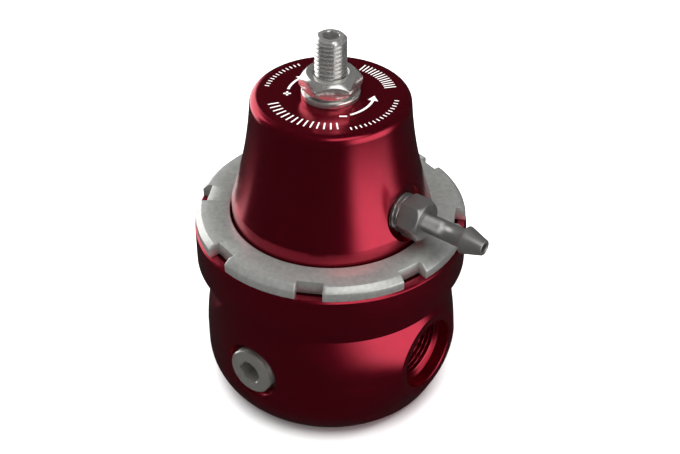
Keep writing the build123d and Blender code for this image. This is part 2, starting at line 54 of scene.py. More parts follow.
turn = Matrix.Rotation(camera_azimuth + pi / 2, 3, "Z")
ahead = turn @ Vector(
    (sin(look_aside) * cos(look_down), cos(look_aside) * cos(look_down), -sin(look_down))
)
sideways = turn @ Vector((cos(look_aside), -sin(look_aside), 0))
upward = sideways.cross(ahead)
camera_right = cos(camera_roll) * sideways + sin(camera_roll) * upward
camera_top = cos(camera_roll) * upward - sin(camera_roll) * sideways
camera_data = bpy.data.cameras.new("camera")
camera_data.sensor_width = sensor_width
camera_data.lens = lens_length
camera_data.clip_start = nearest
camera = bpy.data.objects.new("camera", camera_data)
bpy.context.scene.collection.objects.link(camera)
stand = (camera_out * cos(camera_azimuth), camera_out * sin(camera_azimuth), camera_height)
facing = Matrix((camera_right, camera_top, -ahead)).transposed().to_4x4()
camera.matrix_world = Matrix.Translation(stand) @ facing
bpy.context.scene.camera = camera


# Studio
# A plain white floor, soft lamps for the matt surfaces, and round it all a dark tent with softly
# edged bright panels. Only gloss shows the tent, so polished metal mirrors it and not the floor.
floor_half = 3.0
lamp_distance = 1.4
world_strength = 0.55
tent_radius = 2.5
tent_dimness = 0.02
tent_panels = (
    # azimuth, elevation, half width, half height, soft edge and strength, all but the last in degrees
    (-25, 52, 30, 14, 14, 1.3),
    (3, 4, 28, 24, 20, 1.42),
    (171, 10, 26, 28, 8, 1.7),
)


def link(name, mesh):
    """A new object at the origin that shows this mesh."""
    obj = bpy.data.objects.new(name, mesh)
    bpy.context.scene.collection.objects.link(obj)
    return obj


def maths(tree, operation, *terms):
    """Output of a Math node; each term is a number or another node's output."""
    node = tree.nodes.new("ShaderNodeMath")
    node.operation = operation
    for socket, term in zip(node.inputs, terms):
        if isinstance(term, (int, float)):
            socket.default_value = term
        else:
            tree.links.new(term, socket)
    return node.outputs[0]


def soft_lamp(name, azimuth, elevation, size, watts):
    """Square area lamp that faces the regulator; angles in degrees and size in metres."""
    data = bpy.data.lights.new(name, "AREA")
    data.size = size
    data.energy = watts
    lamp = bpy.data.objects.new(name, data)
    bpy.context.scene.collection.objects.link(lamp)
    a, e = radians(azimuth), radians(elevation)
    out = Vector((cos(a) * cos(e), sin(a) * cos(e), sin(e)))
    lamp.location = out * lamp_distance
    lamp.rotation_euler = out.to_track_quat("Z", "Y").to_euler()
    lamp.visible_glossy = False
    lamp.visible_camera = False


floor_mesh = bpy.data.meshes.new("floor")
floor_corners = [(x * floor_half, y * floor_half, 0) for x, y in ((-1, -1), (1, -1), (1, 1), (-1, 1))]
floor_mesh.from_pydata(floor_corners, [], [(0, 1, 2, 3)])
floor = link("floor", floor_mesh)
white_paper = bpy.data.materials.new("white paper")
white_paper.use_nodes = True
paper_shader = white_paper.node_tree.nodes["Principled BSDF"]
paper_shader.inputs["Base Color"].default_value = (0.88, 0.88, 0.88, 1)
paper_shader.inputs["Roughness"].default_value = 0.9
paper_shader.inputs["Specular IOR Level"].default_value = 0.1
floor_mesh.materials.append(white_paper)
floor.visible_glossy = False

tent_cloth = bpy.data.materials.new("tent cloth")
tent_cloth.use_nodes = True
cloth = tent_cloth.node_tree
cloth.nodes.remove(cloth.nodes["Principled BSDF"])
split = cloth.nodes.new("ShaderNodeSeparateXYZ")
cloth.links.new(cloth.nodes.new("ShaderNodeTexCoord").outputs["Object"], split.inputs[0])
x, y, z = split.outputs
azimuth = maths(cloth, "ARCTAN2", y, x)
elevation = maths(cloth, "ARCSINE", maths(cloth, "DIVIDE", z, tent_radius))
glow = tent_dimness
for panel_azimuth, panel_elevation, half_width, half_height, soft_edge, strength in tent_panels:
    aside = maths(cloth, "SUBTRACT", azimuth, radians(panel_azimuth))
    aside = maths(cloth, "ARCTAN2", maths(cloth, "SINE", aside), maths(cloth, "COSINE", aside))
    aside = maths(cloth, "ABSOLUTE", aside)
    above = maths(cloth, "ABSOLUTE", maths(cloth, "SUBTRACT", elevation, radians(panel_elevation)))
    inside = strength
    for distance, half in ((aside, half_width), (above, half_height)):
        fade = cloth.nodes.new("ShaderNodeMapRange")
        fade.interpolation_type = "SMOOTHSTEP"
        fade.inputs["From Min"].default_value = radians(half + soft_edge / 2)
        fade.inputs["From Max"].default_value = radians(half - soft_edge / 2)
        cloth.links.new(distance, fade.inputs["Value"])
        inside = maths(cloth, "MULTIPLY", fade.outputs[0], inside)
    glow = maths(cloth, "ADD", inside, glow)
shine = cloth.nodes.new("ShaderNodeEmission")
cloth.links.new(glow, shine.inputs["Strength"])
cloth.links.new(shine.outputs[0], cloth.nodes["Material Output"].inputs["Surface"])
tent_cloth.cycles.emission_sampling = "NONE"
tent_mesh = bpy.data.meshes.new("tent")
tent_form = bmesh.new()
bmesh.ops.create_icosphere(tent_form, subdivisions=5, radius=tent_radius)
bmesh.ops.reverse_faces(tent_form, faces=tent_form.faces)
tent_form.to_mesh(tent_mesh)
tent_form.free()
tent_mesh.materials.append(tent_cloth)
tent = link("tent", tent_mesh)
tent.visible_camera = False
tent.visible_diffuse = False
tent.visible_shadow = False

soft_lamp("top lamp", azimuth=-52, elevation=88, size=1.6, watts=50)
soft_lamp("front lamp", azimuth=-80, elevation=35, size=1.2, watts=2)
world = bpy.data.worlds.new("studio")
world.use_nodes = True
world.node_tree.nodes["Background"].inputs["Color"].default_value = (1, 1, 1, 1)
world.node_tree.nodes["Background"].inputs["Strength"].default_value = world_strength
bpy.context.scene.world = world
world.cycles_visibility.glossy = False
bpy.context.scene.view_settings.view_transform = "Standard"


# Base
# One turned and bored piece of aluminium, anodised dark red: rolled bottom edge, raised band at the
# rim, a boss on each side whose flank fades into the body, three threaded O-ring ports and a smaller
# taper-threaded port for a gauge.
base_height = 40.9
rim_radius = 28.855
rim_chamfer = 0.4
rim_lip_radius = 26.955
rim_groove_level = 40.3
rim_bore_radius = 24.6
ledge_level = 33.0
bowl_radius = 19.0
bowl_floor = 27.0
gallery_radius = 13.5
gallery_floor = 11.1
post_radius = 7.5
post_top = 27.5
seat_pocket_radius = 5.0
seat_pocket_floor = 22.0
body_radius = 27.455
band_bottom = 32.2
strip_bottom = 29.04
underside_radius = 21.965
edge_roll_radius = 11.4
edge_roll_step = 0.06
wall_step = 0.9
body_edge_ease = 0.25
rim_edge_ease = 0.1
post_edge_ease = 0.2
port_height = 16.0
port_face = 26.515
port_mouth_break = 0.15
port_seat_radius = 7.85
port_seat_depth = 2.65
port_cone_radius = 6.95
port_cone_end = 3.1
port_thread_radius = 7.14
port_thread_depth = 0.55
port_pitch = 0.95
side_port_depth = 12.0
side_drill_radius = 4.5
side_drill_depth = 16.0
return_port_depth = 9.5
return_port_run_out = 0.5
return_bore_radius = 3.2
gauge_mouth_radius = 6.45
gauge_mouth_straight = 0.5
gauge_mouth_depth = 2.5
gauge_radius = 5.25
gauge_bore_depth = 10.0
gauge_drill_radius = 1.75
gauge_drill_depth = 17.0
pipe_taper = 1 / 32
boss_radius = 9.86
boss_edge_ease = 0.2
boss_slope = 1.45
boss_reach = 16.0
boss_rise = 8.0
boss_stock = 1.0
relief_depth = 19.0
relief_step = 0.45
relief_fall = 0.045
relief_straight = 12.0
relief_stretch = 0.45
relief_radius = 45.0
relief_clear = 6.0
well_outside = 60.0
bracket_hole_radius = 2.1
bracket_hole_lead = 0.3
bracket_hole_depth = 8.0
bracket_hole_reach = 14.0
cutter_clear = 1.0
thread_margin = 0.01
thread_flat = 0.14
thread_wall_share = 0.7
crease_angle = 28


def eased(corners, segments=4):
    """Outline points from (r, z) or (r, z, ease) corners: an ease rounds its corner off that far."""
    points = []
    for i, corner in enumerate(corners):
        here = Vector(corner[:2])
        if len(corner) == 2:
            points.append(tuple(here))
            continue
        back = Vector(corners[i - 1][:2]) - here
        on = Vector(corners[(i + 1) % len(corners)][:2]) - here
        start = here + back.normalized() * min(corner[2], back.length)
        end = here + on.normalized() * min(corner[2], on.length)
        for k in range(segments + 1):
            t = k / segments
            points.append(tuple(start * (1 - t) ** 2 + here * 2 * t * (1 - t) + end * t**2))
    return points


def outward(mesh):
    """The same mesh with its doubles merged and every face pointing out."""
    form = bmesh.new()
    form.from_mesh(mesh)
    bmesh.ops.remove_doubles(form, verts=form.verts, dist=1e-7)
    bmesh.ops.recalc_face_normals(form, faces=form.faces)
    form.to_mesh(mesh)
    form.free()
    return mesh


def lathe(name, outline, steps=192):
    """Solid turned round Z from a closed outline of (radius, height) points in millimetres."""
    verts, faces, rings = [], [], []
    for r, z in outline:
        first = len(verts)
        if abs(r) < 1e-9:
            verts.append((0, 0, z * mm))
            rings.append([first] * steps)
            continue
        for k in range(steps):
            angle = 2 * pi * k / steps
            verts.append((r * mm * cos(angle), r * mm * sin(angle), z * mm))
        rings.append(list(range(first, first + steps)))
    for i, ring in enumerate(rings):
        after = rings[(i + 1) % len(rings)]
        if ring[0] == ring[-1] and after[0] == after[-1]:
            continue
        for k in range(steps):
            j = (k + 1) % steps
            faces.append(list(dict.fromkeys((ring[k], ring[j], after[j], after[k]))))
    mesh = bpy.data.meshes.new(name)
    mesh.from_pydata(verts, [], faces)
    return link(name, outward(mesh))


def block(name, low, high):
    """Solid box between two corners in millimetres."""
    mesh = bpy.data.meshes.new(name)
    form = bmesh.new()
    bmesh.ops.create_cube(form, size=1)
    for vertex in form.verts:
        vertex.co = [(a + b) / 2 * mm + (b - a) * mm * at for a, b, at in zip(low, high, vertex.co)]
    form.to_mesh(mesh)
    form.free()
    return link(name, outward(mesh))


def settled(obj):
    """The object once its modifiers have become part of its mesh."""
    evaluated = obj.evaluated_get(bpy.context.evaluated_depsgraph_get())
    mesh = bpy.data.meshes.new_from_object(evaluated)
    obj.modifiers.clear()
    obj.data = mesh
    mesh.name = obj.name
    return obj


def combine(obj, operation, other):
    """Joins, cuts or trims a solid with another, which is used up."""
    step = obj.modifiers.new("step", "BOOLEAN")
    step.operation = operation
    step.solver = "EXACT"
    step.object = other
    settled(obj)
    bpy.data.objects.remove(other)
    return obj


def seated(obj, origin, outwards, across):
    """Moves a solid to origin, with its Z along outwards and its X along across."""
    z, x = Vector(outwards), Vector(across)
    turned = Matrix((x, z.cross(x), z)).transposed().to_4x4()
    obj.data.transform(Matrix.Translation(Vector(origin) * mm) @ turned)
    return obj


def fitted(obj, material, node, body):
    """Finishes a piece that stands for a solid: shading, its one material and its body."""
    outward(obj.data)
    obj.data.materials.clear()
    obj.data.materials.append(material)
    obj.data.shade_smooth()
    obj.data.set_sharp_from_angle(angle=radians(crease_angle))
    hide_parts(node)
    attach(obj, body)


def new_tree(name, sizes, counts=()):
    """An empty Geometry Nodes tree with these named inputs, and its input and output nodes."""
    tree = bpy.data.node_groups.new(name, "GeometryNodeTree")
    tree.interface.new_socket("Geometry", in_out="INPUT", socket_type="NodeSocketGeometry")
    for label in counts:
        tree.interface.new_socket(label, in_out="INPUT", socket_type="NodeSocketInt")
    for label in sizes:
        tree.interface.new_socket(label, in_out="INPUT", socket_type="NodeSocketFloat")
    tree.interface.new_socket("Material", in_out="INPUT", socket_type="NodeSocketMaterial")
    tree.interface.new_socket("Geometry", in_out="OUTPUT", socket_type="NodeSocketGeometry")
    return tree, tree.nodes.new("NodeGroupInput"), tree.nodes.new("NodeGroupOutput")


def end_tree(tree, geometry, enter, leave):
    """Ends a tree in Realize Instances and Set Material."""
    real = tree.nodes.new("GeometryNodeRealizeInstances")
    paint = tree.nodes.new("GeometryNodeSetMaterial")
    tree.links.new(geometry, real.inputs[0])
    tree.links.new(real.outputs[0], paint.inputs["Geometry"])
    tree.links.new(enter.outputs["Material"], paint.inputs["Material"])
    tree.links.new(paint.outputs[0], leave.inputs[0])
    return tree


def thread_tree():
    """Presses a helical thread into a surface that was turned round Z."""
    tree, enter, leave = new_tree("thread", ("Radius", "Depth", "Pitch", "Start", "End", "Taper"))
    radius, depth, pitch, start, end, taper = enter.outputs[1:7]
    split = tree.nodes.new("ShaderNodeSeparateXYZ")
    tree.links.new(tree.nodes.new("GeometryNodeInputPosition").outputs[0], split.inputs[0])
    x, y, z = split.outputs
    squares = maths(tree, "ADD", maths(tree, "MULTIPLY", x, x), maths(tree, "MULTIPLY", y, y))
    out = maths(tree, "SQRT", squares)
    # Place within a turn of the helix, from 0 at one crest to 1 at the next
    around = maths(tree, "DIVIDE", maths(tree, "ARCTAN2", y, x), 2 * pi)
    turns = maths(tree, "SUBTRACT", maths(tree, "DIVIDE", z, pitch), around)
    phase = maths(tree, "FRACT", maths(tree, "ADD", turns, 1000.0))
    # Straight flanks between a narrow flat at the root and one at the crest
    flank = tree.nodes.new("ShaderNodeMapRange")
    flank.inputs["From Min"].default_value = thread_flat
    flank.inputs["From Max"].default_value = 1 - thread_flat
    from_root = maths(tree, "ABSOLUTE", maths(tree, "MULTIPLY_ADD", phase, 2.0, -1.0))
    tree.links.new(from_root, flank.inputs["Value"])
    cut = maths(tree, "MULTIPLY", maths(tree, "SUBTRACT", 1.0, flank.outputs[0]), depth)
    cone = maths(tree, "ADD", radius, maths(tree, "MULTIPLY", maths(tree, "SUBTRACT", z, start), taper))
    lower = maths(tree, "MINIMUM", out, maths(tree, "SUBTRACT", cone, cut))
    # Only the wall between the two ends moves, not what lies well inside its radius
    past_start = maths(tree, "GREATER_THAN", z, start)
    before_end = maths(tree, "LESS_THAN", z, end)
    at_wall = maths(tree, "GREATER_THAN", out, maths(tree, "MULTIPLY", radius, thread_wall_share))
    within = maths(tree, "MULTIPLY", maths(tree, "MULTIPLY", past_start, before_end), at_wall)
    change = maths(tree, "MULTIPLY", maths(tree, "SUBTRACT", lower, out), within)
    scale = maths(tree, "DIVIDE", maths(tree, "ADD", out, change), maths(tree, "MAXIMUM", out, 1e-6))
    join = tree.nodes.new("ShaderNodeCombineXYZ")
    tree.links.new(maths(tree, "MULTIPLY", x, scale), join.inputs[0])
    tree.links.new(maths(tree, "MULTIPLY", y, scale), join.inputs[1])
    tree.links.new(z, join.inputs[2])
    press = tree.nodes.new("GeometryNodeSetPosition")
    tree.links.new(enter.outputs["Geometry"], press.inputs["Geometry"])
    tree.links.new(join.outputs[0], press.inputs["Position"])
    return end_tree(tree, press.outputs[0], enter, leave)


thread = thread_tree()


def shaped(obj, tree, material, **values):
    """The object once this tree, with these values on its named inputs, has become its mesh."""
    step = obj.modifiers.new(tree.name, "NODES")
    step.node_group = tree
    for item in tree.interface.items_tree:
        if item.in_out == "INPUT" and item.name.lower() in values:
            step[item.identifier] = values[item.name.lower()]
        elif item.name == "Material":
            step[item.identifier] = material
    return settled(obj)


def rows(low, high, spacing):
    """Heights from low to high, evenly spaced."""
    count = max(1, round((high - low) / spacing))
    return [low + (high - low) * k / count for k in range(count + 1)]


def metal(name, colour, roughness, metallic=1.0, coat=0.0, lines=0.05, mottle=0.05, grain=400):
    """Turned metal: fine tool lines round Z, and slight cloudiness in its colour and gloss."""
    material = bpy.data.materials.new(name)
    material.use_nodes = True
    tree = material.node_tree
    shader = tree.nodes["Principled BSDF"]
    shader.inputs["Metallic"].default_value = metallic
    shader.inputs["Coat Weight"].default_value = coat
    shader.inputs["Coat Roughness"].default_value = roughness * 0.6
    place = tree.nodes.new("ShaderNodeTexCoord").outputs["Object"]
    split = tree.nodes.new("ShaderNodeSeparateXYZ")
    tree.links.new(place, split.inputs[0])
    x, y, z = split.outputs
    squares = maths(tree, "MULTIPLY_ADD", x, x, maths(tree, "MULTIPLY", y, y))
    groove = tree.nodes.new("ShaderNodeCombineXYZ")
    tree.links.new(maths(tree, "SQRT", squares), groove.inputs[0])
    tree.links.new(z, groove.inputs[1])
    fine = tree.nodes.new("ShaderNodeTexNoise")
    fine.inputs["Scale"].default_value = 4000
    fine.inputs["Detail"].default_value = 2
    tree.links.new(groove.outputs[0], fine.inputs["Vector"])
    bump = tree.nodes.new("ShaderNodeBump")
    bump.inputs["Strength"].default_value = lines
    bump.inputs["Distance"].default_value = 0.00005
    tree.links.new(fine.outputs["Fac"], bump.inputs["Height"])
    tree.links.new(bump.outputs[0], shader.inputs["Normal"])
    cloud = tree.nodes.new("ShaderNodeTexNoise")
    cloud.inputs["Scale"].default_value = grain
    cloud.inputs["Detail"].default_value = 5
    tree.links.new(place, cloud.inputs["Vector"])
    rough = maths(tree, "MULTIPLY_ADD", cloud.outputs["Fac"], roughness * 0.2, roughness * 0.9)
    tree.links.new(rough, shader.inputs["Roughness"])
    spread = tree.nodes.new("ShaderNodeMapRange")
    spread.inputs["From Min"].default_value = 0.3
    spread.inputs["From Max"].default_value = 0.7
    tree.links.new(cloud.outputs["Fac"], spread.inputs["Value"])
    tint = tree.nodes.new("ShaderNodeMix")
    tint.data_type = "RGBA"
    tint.inputs["A"].default_value = (*[c * (1 - mottle) for c in colour], 1)
    tint.inputs["B"].default_value = (*[min(1, c * (1 + mottle)) for c in colour], 1)
    tree.links.new(spread.outputs[0], tint.inputs["Factor"])
    tree.links.new(tint.outputs["Result"], shader.inputs["Base Color"])
    return material


red_anodising = metal("red anodising", (0.46, 0.012, 0.04), 0.235, metallic=0.965, coat=0.55)


def port_tool(depth, drill_radius, drill_depth):
    """Hollow of a threaded port: its mouth at the origin, running into +Z."""
    outline = [
        (0, -cutter_clear),
        (port_seat_radius + port_mouth_break, -cutter_clear),
        (port_seat_radius + port_mouth_break, 0),
        (port_seat_radius, port_mouth_break),
        (port_seat_radius, port_seat_depth),
        (port_cone_radius, port_cone_end),
        *[(port_thread_radius, z) for z in rows(port_cone_end, depth, port_pitch / 18)],
        (drill_radius, depth),
        (drill_radius, drill_depth),
        (0, drill_depth),
    ]
    return shaped(
        lathe("port tool", outline, 144),
        thread,
        red_anodising,
        radius=port_thread_radius * mm,
        depth=port_thread_depth * mm,
        pitch=port_pitch * mm,
        start=(port_cone_end - thread_margin) * mm,
        end=(depth + thread_margin) * mm,
        taper=0.0,
    )


roll_inset = body_radius - edge_roll_radius
roll_level = sqrt(edge_roll_radius**2 - (underside_radius - roll_inset) ** 2)
roll_start = atan2(-roll_level, underside_radius - roll_inset)
rolled_edge = [
    (roll_inset + edge_roll_radius * cos(a), roll_level + edge_roll_radius * sin(a))
    for a in rows(roll_start, 0, edge_roll_step)[1:]
]
base = lathe(
    "anodised_base",
    eased(
        [
            (return_bore_radius, 0),
            (underside_radius, 0, body_edge_ease),
            *rolled_edge,
            *[(body_radius, z) for z in rows(roll_level, band_bottom, wall_step)[1:]],
            (rim_radius, band_bottom, body_edge_ease),
            (rim_radius, base_height - rim_chamfer, rim_edge_ease),
            (rim_radius - rim_chamfer, base_height, rim_edge_ease),
            (rim_lip_radius, base_height, rim_edge_ease),
            (rim_lip_radius, rim_groove_level),
            (rim_bore_radius, rim_groove_level),
            (rim_bore_radius, ledge_level),
            (bowl_radius, ledge_level),
            (bowl_radius, bowl_floor),
            (gallery_radius, bowl_floor),
            (gallery_radius, gallery_floor),
            (post_radius, gallery_floor),
            (post_radius, post_top, post_edge_ease),
            (seat_pocket_radius, post_top),
            (seat_pocket_radius, seat_pocket_floor),
            (return_bore_radius, seat_pocket_floor),
        ]
    ),
    256,
)

# A block on each side gives the boss its bulk, and is then turned down to its face and flank
for side in (1, -1):
    inner, outer = sorted((side * (port_face - boss_rise), side * (body_radius + boss_stock)))
    low = (inner, -boss_reach, port_height - boss_rise)
    high = (outer, boss_reach, port_height + boss_rise)
    combine(base, "UNION", block("boss", low, high))

# The flank is turned round the port's axis and gets steeper outwards, under the plain strip that
# stays above it. Its lower half is drawn out, so that it fades into the rolled edge.
flank = []
depth, reach = 0.0, boss_radius
while depth < relief_depth:
    slope = boss_slope - relief_fall * max(0, reach - relief_straight)
    depth, reach = depth + relief_step, reach + relief_step * slope
    flank.append((reach, -depth))
relief_outline = [
    (0, 0),
    (boss_radius, 0, boss_edge_ease),
    *flank,
    (relief_radius, -depth),
    (relief_radius, relief_clear),
    (0, relief_clear),
]
for side in (1, -1):
    relief = lathe("relief", eased(relief_outline), 256)
    for vertex in relief.data.vertices:
        spread = hypot(vertex.co.x, vertex.co.y)
        if vertex.co.x < 0 and spread > boss_radius * mm:
            longer = 1 - boss_radius * mm / spread
            stretch = 1 - relief_stretch * longer * vertex.co.x / spread
            vertex.co *= Vector((stretch, stretch, 1))
    seated(relief, (side * port_face, 0, port_height), (side, 0, 0), (0, 0, 1))
    low = (-well_outside, -well_outside, -well_outside)
    under_strip = block("under strip", low, (well_outside, well_outside, strip_bottom))
    combine(base, "DIFFERENCE", combine(relief, "INTERSECT", under_strip))
for side in (1, -1):
    port = port_tool(side_port_depth, side_drill_radius, side_drill_depth)
    seated(port, (side * port_face, 0, port_height), (-side, 0, 0), (0, side, 0))
    combine(base, "DIFFERENCE", port)
return_port_end = return_port_depth + return_port_run_out
combine(base, "DIFFERENCE", port_tool(return_port_depth, return_bore_radius, return_port_end))
gauge_bore = lathe(
    "gauge bore",
    [
        (0, -cutter_clear),
        (gauge_mouth_radius, -cutter_clear),
        (gauge_mouth_radius, gauge_mouth_straight),
        (gauge_radius, gauge_mouth_depth),
        (gauge_radius - gauge_bore_depth * pipe_taper, gauge_bore_depth),
        (gauge_drill_radius, gauge_bore_depth),
        (gauge_drill_radius, gauge_drill_depth),
        (0, gauge_drill_depth),
    ],
    128,
)
combine(base, "DIFFERENCE", seated(gauge_bore, (0, -body_radius, port_height), (0, 1, 0), (1, 0, 0)))
for y in (-bracket_hole_reach, bracket_hole_reach):
    hole = lathe(
        "bracket hole",
        [
            (0, -cutter_clear),
            (bracket_hole_radius + bracket_hole_lead + cutter_clear, -cutter_clear),
            (bracket_hole_radius, bracket_hole_lead),
            (bracket_hole_radius, bracket_hole_depth),
            (0, bracket_hole_depth),
        ],
        48,
    )
    combine(base, "DIFFERENCE", seated(hole, (0, y, 0), (0, 0, 1), (1, 0, 0)))
fitted(base, red_anodising, "base", "root")


# Lock ring
# Bare aluminium, turned, with eight spanner notches milled into its edge. Its threaded skirt goes
# down into the base and clamps the cap's flange on the diaphragm.
ring_radius = 28.575
ring_top = 43.95
ring_chamfer = 1.15
ring_bore_radius = 21.3
ring_bore_chamfer = 0.35
skirt_radius = 24.55
skirt_bottom = 38.5
notch_count = 8
notch_width = 5.5
notch_depth = 2.35
notch_start = -60.9
notch_cutter = 8.0
notch_undercut = 0.001
ring_edge_break = 0.12


def bar_tree():
    """Bars on an arc round Z, each along its own radius."""
    sizes = ("Radius", "Start", "Step", "Length", "Width", "Height", "Level")
    tree, enter, leave = new_tree("bars on an arc", sizes, ("Count",))
    line = tree.nodes.new("GeometryNodeMeshLine")
    tree.links.new(enter.outputs["Count"], line.inputs["Count"])
    index = tree.nodes.new("GeometryNodeInputIndex").outputs[0]
    angle = maths(tree, "MULTIPLY_ADD", index, enter.outputs["Step"], enter.outputs["Start"])
    radius = enter.outputs["Radius"]
    spot = tree.nodes.new("ShaderNodeCombineXYZ")
    tree.links.new(maths(tree, "MULTIPLY", maths(tree, "COSINE", angle), radius), spot.inputs[0])
    tree.links.new(maths(tree, "MULTIPLY", maths(tree, "SINE", angle), radius), spot.inputs[1])
    tree.links.new(enter.outputs["Level"], spot.inputs[2])
    place = tree.nodes.new("GeometryNodeSetPosition")
    tree.links.new(line.outputs[0], place.inputs["Geometry"])
    tree.links.new(spot.outputs[0], place.inputs["Position"])
    size = tree.nodes.new("ShaderNodeCombineXYZ")
    for socket, label in zip(size.inputs, ("Length", "Width", "Height")):
        tree.links.new(enter.outputs[label], socket)
    bar = tree.nodes.new("GeometryNodeMeshCube")
    tree.links.new(size.outputs[0], bar.inputs["Size"])
    heading = tree.nodes.new("ShaderNodeCombineXYZ")
    tree.links.new(angle, heading.inputs[2])
    stand = tree.nodes.new("GeometryNodeInstanceOnPoints")
    tree.links.new(place.outputs[0], stand.inputs["Points"])
    tree.links.new(bar.outputs[0], stand.inputs["Instance"])
    tree.links.new(heading.outputs[0], stand.inputs["Rotation"])
    return end_tree(tree, stand.outputs[0], enter, leave)


bars_on_arc = bar_tree()


def bars(name, material, count, radius, start, step, length, width, height, level):
    """Bars on an arc; angles in degrees, sizes in millimetres, level at their middle."""
    sizes = {"radius": radius, "length": length, "width": width, "height": height, "level": level}
    return shaped(
        link(name, bpy.data.meshes.new(name)),
        bars_on_arc,
        material,
        count=count,
        start=radians(start),
        step=radians(step),
        **{label: size * mm for label, size in sizes.items()},
    )


def edged(obj, width, angle=30):
    """Breaks every sharp edge of a solid by a small rounded bevel."""
    bevel = obj.modifiers.new("edges", "BEVEL")
    bevel.width = width * mm
    bevel.segments = 2
    bevel.limit_method = "ANGLE"
    bevel.angle_limit = radians(angle)
    bevel.use_clamp_overlap = True
    return settled(obj)


bare_aluminium = metal(
    "bare aluminium", (0.58, 0.585, 0.56), 0.33, metallic=0.80, lines=0.12, mottle=0.11, grain=1100
)
lock_ring = lathe(
    "notched_ring",
    [
        (ring_bore_radius, skirt_bottom),
        (skirt_radius, skirt_bottom),
        (skirt_radius, base_height),
        (ring_radius, base_height),
        (ring_radius, ring_top - ring_chamfer),
        (ring_radius - ring_chamfer, ring_top),
        (ring_bore_radius + ring_bore_chamfer, ring_top),
        (ring_bore_radius, ring_top - ring_bore_chamfer),
    ],
    240,
)
notches = bars(
    "notches",
    bare_aluminium,
    count=notch_count,
    radius=ring_radius - notch_depth + notch_cutter / 2,
    start=notch_start,
    step=360 / notch_count,
    length=notch_cutter,
    width=notch_width,
    height=notch_cutter,
    level=base_height + notch_cutter / 2 - notch_undercut,
)
combine(lock_ring, "DIFFERENCE", notches)
outward(lock_ring.data)
edged(lock_ring, ring_edge_break)
fitted(lock_ring, bare_aluminium, "lock_ring", "root")


# Cap
# Bell-shaped spring housing, turned from aluminium and anodised with the base: satin flanks, and a
# top face that mirrors the nut. A spot face in its side takes the hose barb.
cap_top = 71.05
cap_foot_radius = 20.86
cap_foot_top = 46.6
cap_waist = (17.76, 58.6)
cap_top_radius = 16.25
cap_top_ease = 1.78
bell_step = 0.6
cap_flange_radius = 24.2
cap_flange_bottom = 34.0
cap_flange_top = 38.5
cap_mouth_radius = 17.0
cap_mouth_top = 41.0
cap_taper_top = 47.0
cap_chamber_radius = 12.2
chamber_roof = 62.05
screw_hole_radius = 3.3
barb_height = 50.3
barb_pocket_radius = 5.7
barb_pocket_floor = 18.0
barb_pocket_clear = 6.0
barb_hole_radius = 4.07
barb_hole_depth = 8.0
mirror_depth = 0.02


def circle_through(a, b, c):
    """Centre and radius of the circle through three points."""
    (ax, ay), (bx, by), (cx, cy) = a, b, c
    d = 2 * (ax * (by - cy) + bx * (cy - ay) + cx * (ay - by))
    a2, b2, c2 = ax**2 + ay**2, bx**2 + by**2, cx**2 + cy**2
    x = (a2 * (by - cy) + b2 * (cy - ay) + c2 * (ay - by)) / d
    y = (a2 * (cx - bx) + b2 * (ax - cx) + c2 * (bx - ax)) / d
    return x, y, hypot(ax - x, ay - y)


cap_foot = (cap_foot_radius, cap_foot_top)
bell_x, bell_z, bell_radius = circle_through(cap_foot, cap_waist, (cap_top_radius, cap_top))
bell = [
    (bell_x - sqrt(bell_radius**2 - (z - bell_z) ** 2), z)
    for z in rows(cap_foot_top, cap_top - cap_top_ease, bell_step)
]
cap = lathe(
    "anodised_cap",
    eased(
        [
            (cap_mouth_radius, cap_flange_bottom),
            (cap_flange_radius, cap_flange_bottom),
            (cap_flange_radius, cap_flange_top),
            (cap_foot_radius, cap_flange_top),
            *bell,
            (cap_top_radius, cap_top, cap_top_ease),
            (screw_hole_radius, cap_top),
            (screw_hole_radius, chamber_roof),
            (cap_chamber_radius, chamber_roof),
            (cap_chamber_radius, cap_taper_top),
            (cap_mouth_radius, cap_mouth_top),
        ],
        segments=12,
    ),
    256,
)
pocket = lathe(
    "pocket",
    [
        (0, -barb_hole_depth),
        (barb_hole_radius - barb_hole_depth * pipe_taper, -barb_hole_depth),
        (barb_hole_radius, 0),
        (barb_pocket_radius, 0),
        (barb_pocket_radius, barb_pocket_clear),
        (0, barb_pocket_clear),
    ],
    128,
)
combine(cap, "DIFFERENCE", seated(pocket, (barb_pocket_floor, 0, barb_height), (1, 0, 0), (0, 1, 0)))
fitted(cap, red_anodising, "cap", "root")
mirror_anodising = metal(
    "mirror anodising", (0.46, 0.012, 0.038), 0.19, metallic=0.96, coat=0.3, lines=0.03
)
cap.data.materials.append(mirror_anodising)
for face in cap.data.polygons:
    if face.center.z > (cap_top - mirror_depth) * mm:
        face.material_index = 1


# Cap marks
# White laser marks on the cap's top: curved arrows with a plus and a minus for the way to turn the
# screw, and tick marks round the edge. They lie a hair above the anodising.
mark_height = 0.02
arrow_radius = 8.7
arrow_width = 0.5
arrow_head_length = 12.0
arrow_head_half = 1.05
arrow_step = 0.05
sign_half_length = 0.75
sign_half_width = 0.21
sign_turn = 38
minus_angle = -36
plus_angle = 217
arrow_angles = (
    # tail and tip, in degrees round the cap
    (-26, 33),
    (206, 163),
)
tick_rows = (
    # count, radius, first angle and step in degrees, length, width
    (12, 13.2, 158, 4.2, 0.9, 0.24),
    (15, 13.3, -35, 4.4, 0.9, 0.24),
    (13, 12.2, 50, 3.8, 2.4, 0.26),
    (14, 11.9, -124, 6.0, 2.2, 0.3),
)


